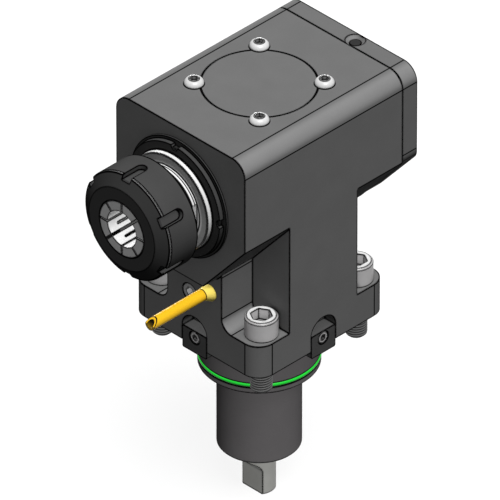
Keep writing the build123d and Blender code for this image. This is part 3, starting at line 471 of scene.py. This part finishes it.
def side_seams(paint):
    """The lowest edge of the head's sides, and the upper edge of the rear cover's lower corner."""
    side = paint.beyond(paint.across, HEAD_HALF_WIDTH)
    bottom = seam(paint, paint.z, SIDE_BOTTOM + END_LINE, side, off_web(paint))
    corner = seam(paint, paint.z, COVER_CORNER_TOP, side, on_cover(paint))
    return paint.union(bottom, corner)


def end_line(paint, bottom):
    """A line just above a lower end."""
    return paint.band(paint.z, bottom + END_LINE, END_LINE)


def black_lines(paint):
    """The seams of the black steel, the feet of the cover screws, and the ends of the pilot and the shank."""
    rings = paint.band(button_reach(paint), BUTTON_RADIUS + 0.2 * MM, THIN_LINE)
    rings = paint.overlap(rings, paint.beyond(paint.z, HEAD_TOP))
    return paint.union(head_seams(paint), flange_seams(paint), pocket_seams(paint), side_seams(paint), rings,
                       end_line(paint, PILOT_BOTTOM), end_line(paint, SHANK_BOTTOM))


def ring_zones(paint):
    """The threaded ring's front painted nearly black, as painted shade."""
    paint.coat(paint.facing_front(), grey(0.025))


# Zones of the screws

def button_reach(paint):
    """Distance from the axis of the nearest cover screw."""
    return paint.distance(paint.across, paint.along, (TOP_SCREW_PLACE, TOP_SCREW_PLACE))


def button_zones(paint):
    """The flat top of each cover screw's head painted darker, as painted shade."""
    paint.coat(paint.fall(button_reach(paint), BUTTON_TOP_RADIUS - 0.2 * MM, BUTTON_TOP_RADIUS), grey(0.22))


def button_lines(paint):
    """Dark lines round the flat top and the foot of each cover screw's head."""
    rim = paint.band(button_reach(paint), BUTTON_TOP_RADIUS, 0.28 * MM)
    foot = paint.fall(paint.z, HEAD_TOP + 0.4 * MM, HEAD_TOP + 0.6 * MM)
    return paint.union(rim, foot)


def screw_zones(paint):
    """Tops of the screws' heads painted brighter, as painted light from above."""
    paint.coat(paint.facing_up(), paint.between(0.60, 0.66))


def thread_zones(paint):
    """Painted shade in the roots of the mounting screws' threads."""
    reach = paint.distance(paint.across, paint.along, (BOLT_X, BOLT_Y))
    paint.coat(paint.fall(reach, BOLT_RADIUS - 0.40 * MM, BOLT_RADIUS - 0.28 * MM), grey(0.030))


# Zones of the spindle, the collet and the nut

def from_axis(paint):
    """Distance from the spindle axis."""
    return paint.distance(paint.x, paint.z, (0.0, SPINDLE_HEIGHT))


def spindle_zones(paint):
    """The collar's face painted lighter low down and darker up high, as painted light and shade, and slightly
    darker wrench flats.
    """
    face = paint.band(paint.y, COLLAR_FRONT, 0.1 * MM)
    # Painted light low on the collar's face, turning into painted shade towards its top
    bright = paint.fall(paint.z, COLLAR_PAINTED_LIGHT_BELOW, COLLAR_PAINTED_SHADE_ABOVE, "LINEAR")
    paint.coat(face, paint.mix(bright, grey(0.26), grey(0.72)))
    flat = paint.overlap(paint.band(paint.across, WRENCH_FLAT, 0.06 * MM),
                         paint.fall(paint.y, COLLAR_FRONT - 0.2 * MM, COLLAR_FRONT - 0.1 * MM))
    paint.coat(flat, paint.between(0.50, 0.55))


def spindle_lines(paint):
    """Dark lines along the collar's bevel and in the undercut of the nose."""
    reach = from_axis(paint)
    bevel = paint.overlap(paint.band(paint.y, COLLAR_FRONT + 0.3 * MM, THIN_LINE),
                          paint.ramp(reach, NOSE_RADIUS + 1 * MM, NOSE_RADIUS + 2 * MM))
    grooves = [paint.band(paint.y, COLLAR_FRONT - off, half) for off, half in UNDERCUT_LINES]
    return paint.union(bevel, paint.overlap(paint.union(*grooves), paint.band(reach, NOSE_RADIUS, NEAR)))


def nut_zones(paint):
    """The nut's front painted a little darker, as painted shade, and a painted highlight on the upper right
    of its front edge.
    """
    # Painted shade on the nut's front
    paint.coat(paint.fall(paint.y, NUT_EDGE - 0.3 * MM, NUT_EDGE - 0.1 * MM), grey(0.034))
    # Painted highlight on the nut's front edge, growing up and to the right
    up_and_right = paint.math("ADD", paint.x, paint.math("SUBTRACT", paint.z, SPINDLE_HEIGHT))
    edge = paint.overlap(paint.band(paint.y, NUT_EDGE + 0.2 * MM, THIN_LINE),
                         paint.ramp(from_axis(paint), NUT_RADIUS - 0.8 * MM, NUT_RADIUS - 0.5 * MM))
    painted_highlight = paint.ramp(up_and_right, NUT_HIGHLIGHT_START, NUT_HIGHLIGHT_FULL)
    paint.coat(edge, paint.mix(painted_highlight, grey(0.06), grey(0.34)))


def nut_lines(paint):
    """Thin dark lines beside the nut's front edge and along its back edge."""
    lines = paint.union(paint.band(paint.y, NUT_EDGE - 0.45 * MM, THIN_LINE),
                        paint.band(paint.y, NUT_EDGE + 0.85 * MM, THIN_LINE),
                        paint.band(paint.y, NUT_BACK - 0.85 * MM, 0.45 * MM))
    return paint.overlap(lines, paint.ramp(from_axis(paint), NUT_RADIUS - 1.3 * MM, NUT_RADIUS - 1.0 * MM))


def collet_zones(paint):
    """The bore painted lighter, as painted light."""
    bore = paint.fall(from_axis(paint), COLLET_BORE + 0.05 * MM, COLLET_BORE + 0.15 * MM)
    paint.coat(bore, paint.between(0.60, 0.66))


# Zones of the nozzle, the plug, the tang and the pilot's ring

def nozzle_zones(paint):
    """A painted highlight on the foot, a darker end and painted shade in the bore of the brass nozzle."""
    # Painted highlight on the nozzle's foot
    foot = paint.ramp(paint.y, NOZZLE_JOINT - 0.2 * MM, NOZZLE_JOINT + 0.8 * MM)
    paint.coat(foot, paint.mix(paint.tone, *BRASS_FOOT_HIGHLIGHT))
    paint.coat(paint.facing_front(), BRASS_END)
    # Painted shade in the nozzle's bore
    reach = paint.distance(paint.x, paint.z, NOZZLE_AXIS)
    bore = paint.fall(reach, NOZZLE_BORE - 0.02 * MM, NOZZLE_BORE + 0.04 * MM)
    paint.coat(bore, BRASS_BORE_SHADE)


def nozzle_lines(paint):
    """Thin dark lines round the nozzle's tip and where the pipe meets its foot."""
    above = paint.math("MAXIMUM", paint.math("SUBTRACT", paint.z, NOZZLE_AXIS[1]), 0.0)
    from_cut = paint.math("SUBTRACT", paint.y, paint.math("MULTIPLY", above, NOZZLE_CUT))
    rims = paint.union(paint.band(from_cut, NOZZLE_TIP + 0.3 * MM, SEAM),
                       paint.band(paint.y, NOZZLE_JOINT, THIN_LINE))
    reach = paint.distance(paint.x, paint.z, NOZZLE_AXIS)
    return paint.overlap(rims, paint.ramp(reach, NOZZLE_TIP_RADIUS - 0.2 * MM, NOZZLE_TIP_RADIUS - 0.1 * MM))


def plug_zones(paint):
    """Painted shade in the middle of the coolant plug's hexagon socket."""
    reach = paint.distance(paint.x, paint.z, PLUG_AXIS)
    paint.coat(paint.fall(reach, PLUG_SOCKET, PLUG_SOCKET + 0.2 * MM), grey(0.03))


def tang_lines(paint):
    """A dark line along the tang's end."""
    return end_line(paint, TANG_END)


def seal_zones(paint):
    """Painted shade on the lower half of the pilot's green ring."""
    low = paint.fall(paint.z, PILOT_RING_HEIGHT - 0.45 * MM, PILOT_RING_HEIGHT - 0.15 * MM)
    paint.coat(low, GREEN_SHADE)


# Finishes: name, darkest and lightest grey, grey of the lines and of the painted shade in crevices,
# roughness, metallic, specular and tint

metal("black_steel", 0.124, 0.134, 0.002, 0.42, specular=0.0, line_width=1.5 * MM,
      zones=black_zones, extra_lines=black_lines)
metal("black_fittings", 0.058, 0.066, 0.001, 0.50, specular=0.0, line_width=1.3 * MM)
metal("ring_steel", 0.048, 0.054, 0.001, 0.50, specular=0.0, zones=ring_zones)
metal("nut_steel", 0.049, 0.055, 0.001, 0.50, specular=0.0, line_width=1.3 * MM, contrast=0.15,
      zones=nut_zones, extra_lines=nut_lines)
metal("port_steel", 0.028, 0.032, 0.001, 0.50, specular=0.0, line_width=0.8 * MM)
metal("screw_steel", 0.42, 0.47, 0.004, 0.34, 0.04, 0.1, (1.0, 0.985, 0.99),
      line_width=1.3 * MM, contrast=0.12, crevice=6 * MM, zones=screw_zones)
metal("button_steel", 0.52, 0.58, 0.004, 0.36, 0.04, 0.3,
      line_width=0.9 * MM, contrast=0.1, crevice=3 * MM, zones=button_zones, extra_lines=button_lines)
metal("thread_steel", 0.10, 0.12, 0.004, 0.45, 0.0, 0.04,
      line_width=0.1 * MM, contrast=0.1, crevice=0.4 * MM, zones=thread_zones)
metal("plug_steel", 0.26, 0.30, 0.004, 0.45, 0.0, 0.04,
      line_width=0.6 * MM, contrast=0.2, crevice=3 * MM, zones=plug_zones)
metal("spindle_steel", 0.66, 0.72, 0.003, 0.30, 0.04, 0.1, contrast=0.1,
      zones=spindle_zones, extra_lines=spindle_lines)
metal("collet_steel", 0.32, 0.36, 0.001, 0.30, 0.02, 0.04, contrast=0.1, zones=collet_zones)
metal("ground_steel", 0.42, 0.48, 0.004, 0.32, 0.02, 0.05, (1.0, 1.0, 0.95),
      line_width=1.4 * MM, contrast=0.12, extra_lines=tang_lines)
metal("gear_steel", 0.30, 0.36, 0.010, 0.38, 0.6, 0.4, (1.0, 0.97, 0.92))
metal("bearing_steel", 0.50, 0.58, 0.010, 0.25, 0.7, 0.5, contrast=0.1)
metal("nozzle_brass", 0.78, 0.86, 0.004, 0.34, 0.04, 0.06, (1.0, 0.58, 0.02),
      line_width=0.4 * MM, contrast=0.12, crevice=7 * MM, zones=nozzle_zones, extra_lines=nozzle_lines)
metal("seal_green", 0.72, 0.80, 0.010, 0.35, 0.0, 0.1, (0.03, 1.0, 0.07),
      contrast=0.1, crevice=0.8 * MM, zones=seal_zones)
metal("seal_black", 0.012, 0.018, 0.002, 0.6, specular=0.05)

# Nodes whose finish isn't the one that their slot names, and finishes that aren't slots
SPECIAL_FINISHES = {
    "spindle_shaft": "spindle_steel", "collet": "collet_steel", "clamping_nut": "nut_steel",
    "top_cover_screws": "button_steel", "coolant_plug": "plug_steel", "front_ring": "ring_steel",
    "rear_port_plug": "port_steel"}


def dress_nodes():
    """Give each CAD node the finish of its slot in the record, or a finish of its own."""
    for part in frame["record"]["subparts"]:
        name = part["node"]
        shown = frame["nodes"][name]
        shown.data.materials.clear()
        shown.data.materials.append(finishes[SPECIAL_FINISHES.get(name, part["material_slot"])])


# Pieces made here

def piece(name, mesh, finish, body, replaced=()):
    """Show a mesh as a piece that rides on a body and stands for the replaced nodes."""
    mesh.materials.clear()
    mesh.materials.append(finishes[finish])
    made = bpy.data.objects.new(name, mesh)
    scene.collection.objects.link(made)
    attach(made, body)
    if replaced:
        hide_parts(*replaced)
    return made


def smooth_mesh(name, vertices, faces):
    mesh = bpy.data.meshes.new(name)
    mesh.from_pydata(vertices, [], faces)
    mesh.validate()
    for polygon in mesh.polygons:
        polygon.use_smooth = True
    return mesh


def reshaped_mesh(name, node, move):
    """A copy of a CAD node's mesh with each vertex put where move(vertex) says."""
    mesh = frame["nodes"][node].data.copy()
    mesh.name = name
    for vertex in mesh.vertices:
        vertex.co = move(vertex.co)
    return mesh


def circle(steps):
    """Cosine and sine of each step round a circle."""
    return [(cos(2 * pi * step / steps), sin(2 * pi * step / steps)) for step in range(steps)]


def belt(low, high, steps):
    """Faces between two rings of vertices, which start at these indices."""
    faces = []
    for step in range(steps):
        after = (step + 1) % steps
        faces.append((low + step, low + after, high + after, high + step))
    return faces


def cap(first, steps):
    """One face over the ring of vertices that starts at this index."""
    return tuple(first + step for step in range(steps))


def torus(radius, section, height):
    """Vertices and faces of a round ring about Z."""
    vertices = []
    faces = []
    for step, (right, back) in enumerate(circle(RING_STEPS)):
        for out, up in circle(SECTION_STEPS):
            reach = radius + section * out
            vertices.append((reach * right, reach * back, height + section * up))
        after = (step + 1) % RING_STEPS
        faces += belt(after * SECTION_STEPS, step * SECTION_STEPS, SECTION_STEPS)
    return vertices, faces


def threaded_rod(radius, depth, low, high, steps, point=0.0, bore=0.0):
    """Vertices and faces about Z of a closed rod or tube whose outside is a real helical thread."""
    rows = int((high - low) / THREAD_PITCH * THREAD_ROWS) + 1
    vertices = []
    for row in range(rows):
        height = low + (high - low) * row / (rows - 1)
        for step, (right, back) in enumerate(circle(steps)):
            phase = (height / THREAD_PITCH - step / steps) % 1.0
            cut = (abs(2 * phase - 1) - THREAD_FLAT) / (1 - 2 * THREAD_FLAT)
            reach = radius - depth * min(max(cut, 0.0), 1.0)
            if point:
                reach = min(reach, radius - point + (height - low))
            vertices.append((reach * right, reach * back, height))
    faces = []
    for row in range(rows - 1):
        faces += belt(row * steps, (row + 1) * steps, steps)
    last = (rows - 1) * steps
    if not bore:
        return vertices, faces + [cap(0, steps)[::-1], cap(last, steps)]
    for height in (low, high):
        vertices += [(bore * right, bore * back, height) for right, back in circle(steps)]
    bore_low = last + steps
    bore_high = bore_low + steps
    faces += belt(bore_low, 0, steps) + belt(last, bore_high, steps) + belt(bore_high, bore_low, steps)
    return vertices, faces


def build_nozzle():
    """The brass nozzle: its foot flares into a higher pipe, and the tip's upper half is cut slanting."""
    x, pipe = NOZZLE_AXIS
    foot = pipe - NOZZLE_OFFSET
    face = -FLANGE_HALF_DEPTH
    foot_front = face - NOZZLE_FOOT
    rings = [
        (NOZZLE_THREAD_RADIUS, foot, NOZZLE_END, 0.0), (NOZZLE_THREAD_RADIUS, foot, face, 0.0),
        (NOZZLE_FOOT_RADIUS, foot, face, 0.0), (NOZZLE_FOOT_RADIUS, foot, foot_front, 0.0),
        (NOZZLE_RADIUS, pipe, NOZZLE_JOINT, 0.0), (NOZZLE_TIP_RADIUS, pipe, NOZZLE_TIP, NOZZLE_CUT),
        (NOZZLE_BORE, pipe, NOZZLE_TIP, NOZZLE_CUT), (NOZZLE_BORE, pipe, foot_front, 0.0)]
    vertices = []
    faces = [cap(0, NOZZLE_STEPS)[::-1]]
    for index, (radius, height, y, lean) in enumerate(rings):
        for right, up in circle(NOZZLE_STEPS):
            rise = radius * up
            vertices.append((x + radius * right, y + lean * max(rise, 0.0), height + rise))
        if index:
            faces += belt((index - 1) * NOZZLE_STEPS, index * NOZZLE_STEPS, NOZZLE_STEPS)
    faces.append(cap((len(rings) - 1) * NOZZLE_STEPS, NOZZLE_STEPS))
    mesh = smooth_mesh("nozzle_pipe", vertices, faces)
    made = piece("nozzle_pipe", mesh, "nozzle_brass", "holder", ("coolant_nozzle",))
    mesh.set_sharp_from_angle(angle=NOZZLE_SHARP)
    made.visible_diffuse = False    # keeps its yellow off the black steel beside it


def build_pilot_ring():
    vertices, faces = torus(PILOT_RING_RADIUS, PILOT_RING_SECTION, PILOT_RING_HEIGHT)
    mesh = smooth_mesh("pilot_ring_round", vertices, faces)
    piece("pilot_ring_round", mesh, "seal_green", "holder", ("pilot_oring",))


def turn_screw(place):
    """Turn a mounting screw's socket as photographed, and thin its stud to hide inside its thread."""
    x, y = min(BOLT_PLACES, key=lambda bolt: hypot(place.x - bolt[0], place.y - bolt[1]))
    stud = place.z <= STUD_TOP
    scale = STUD_SCALE if stud else 1.0
    lift = STUD_LIFT if stud else 0.0
    right = scale * (place.x - x)
    back = scale * (place.y - y)
    return Vector((x + cos(SOCKET_TURN) * right - sin(SOCKET_TURN) * back,
                   y + sin(SOCKET_TURN) * right + cos(SOCKET_TURN) * back, place.z + lift))


def build_mounting_screws():
    mesh = reshaped_mesh("mounting_screw_heads", "mounting_screws", turn_screw)
    piece("mounting_screw_heads", mesh, "screw_steel", "holder", ("mounting_screws",))
    vertices, faces = threaded_rod(BOLT_THREAD_RADIUS, BOLT_THREAD_DEPTH, BOLT_END, BOLT_THREAD_TOP,
                                   BOLT_STEPS, point=BOLT_POINT)
    for number, (x, y) in enumerate(BOLT_PLACES, 1):
        name = "mounting_screw_thread_%d" % number
        moved = [(x + right, y + back, height) for right, back, height in vertices]
        piece(name, smooth_mesh(name, moved, faces), "thread_steel", "holder")


def slim_nose(place):
    """Thin the spindle where its nose thread goes."""
    rise = place.z - SPINDLE_HEIGHT
    reach = hypot(place.x, rise)
    if place.y > NOSE_THREAD_BACK or reach < NOSE_CORE + NOSE_PLAY:
        return place
    thin = NOSE_CORE / reach
    return Vector((thin * place.x, place.y + NOSE_SHIFT, SPINDLE_HEIGHT + thin * rise))


def build_spindle():
    mesh = reshaped_mesh("spindle_body", "spindle_shaft", slim_nose)
    piece("spindle_body", mesh, "spindle_steel", "spindle", ("spindle_shaft",))
    low, high = -NOSE_THREAD_BACK, -NOSE_THREAD_FRONT
    vertices, faces = threaded_rod(NOSE_THREAD_RADIUS, NOSE_THREAD_DEPTH, low, high,
                                   NOSE_STEPS, bore=NOSE_THREAD_BORE)
    laid = [(right, -height, SPINDLE_HEIGHT + back) for right, back, height in vertices]
    piece("spindle_nose_thread", smooth_mesh("spindle_nose_thread", laid, faces), "ground_steel", "spindle")


# Stage, light and camera

def mix_rays(wiring, seen, unseen):
    """Mix a shader for the rays of the camera, of gloss and through glass with one for all other rays."""
    rays = wiring.node("ShaderNodeLightPath").outputs
    shown = wiring.union(rays["Is Camera Ray"], rays["Is Glossy Ray"], rays["Is Transmission Ray"])
    mixed = wiring.node("ShaderNodeMixShader")
    wiring.link(shown, mixed.inputs[0])
    wiring.link(unseen.outputs[0], mixed.inputs[1])
    wiring.link(seen.outputs[0], mixed.inputs[2])
    return mixed.outputs[0]


def build_floor():
    """A paper floor that looks white and throws little light back."""
    bpy.ops.mesh.primitive_plane_add(size=FLOOR_SIZE, location=(0, 0, FLOOR_HEIGHT))
    floor = bpy.context.object
    floor.name = "floor"
    material = bpy.data.materials.new("floor_paper")
    material.use_nodes = True
    wiring = Wiring(material.node_tree)
    wiring.tree.nodes.clear()
    seen = wiring.node("ShaderNodeBsdfDiffuse")
    seen.inputs["Color"].default_value = grey(FLOOR_SEEN)
    bounce = wiring.node("ShaderNodeBsdfDiffuse")
    bounce.inputs["Color"].default_value = grey(FLOOR_BOUNCE)
    output = wiring.node("ShaderNodeOutputMaterial")
    wiring.link(mix_rays(wiring, seen, bounce), output.inputs[0])
    floor.data.materials.append(material)


def build_world():
    """White behind the holder, and a soft dome that is brighter overhead for its light and gloss."""
    world = bpy.data.worlds.new("studio")
    scene.world = world
    world.use_nodes = True
    wiring = Wiring(world.node_tree)
    wiring.tree.nodes.clear()
    seen = wiring.node("ShaderNodeBackground")
    seen.inputs["Color"].default_value = grey(1.0)
    seen.inputs["Strength"].default_value = 1.0
    dome = wiring.node("ShaderNodeBackground")
    dome.inputs["Color"].default_value = grey(1.0)
    _, _, height = wiring.split(wiring.node("ShaderNodeTexCoord").outputs["Generated"])
    strength = wiring.ramp(height, DOME_LOW, DOME_HIGH, DOME_DIM, DOME_BRIGHT, "LINEAR")
    wiring.link(strength, dome.inputs["Strength"])
    output = wiring.node("ShaderNodeOutputWorld")
    wiring.link(mix_rays(wiring, seen, dome), output.inputs[0])


def sun(name, direction, strength, angle, shadow):
    light = bpy.data.lights.new(name, "SUN")
    light.energy = strength
    light.angle = angle
    light.use_shadow = shadow
    lamp = bpy.data.objects.new(name, light)
    lamp.rotation_euler = direction.to_track_quat("Z", "Y").to_euler()
    scene.collection.objects.link(lamp)


def build_camera():
    data = bpy.data.cameras.new("camera")
    data.lens = CAMERA_LENS
    data.sensor_width = CAMERA_SENSOR
    data.clip_start = CAMERA_NEAR
    data.clip_end = CAMERA_FAR
    camera = bpy.data.objects.new("camera", data)
    distance = (VIEW_WIDTH / 2) / (CAMERA_SENSOR / 2 / CAMERA_LENS)
    camera.location = VIEW_TARGET + VIEW_DIRECTION * distance
    camera.rotation_euler = VIEW_DIRECTION.to_track_quat("Z", "Y").to_euler()
    scene.collection.objects.link(camera)
    scene.camera = camera


dress_nodes()
build_nozzle()
build_pilot_ring()
build_mounting_screws()
build_spindle()
build_floor()
build_world()
sun("fill", KEY_DIRECTION, FILL_STRENGTH, EVEN_ANGLE, False)
sun("shade", KEY_DIRECTION, SHADE_STRENGTH, SHADE_ANGLE, True)
sun("back", BACK_DIRECTION, BACK_STRENGTH, EVEN_ANGLE, False)
build_camera()
scene.view_settings.view_transform = "Standard"
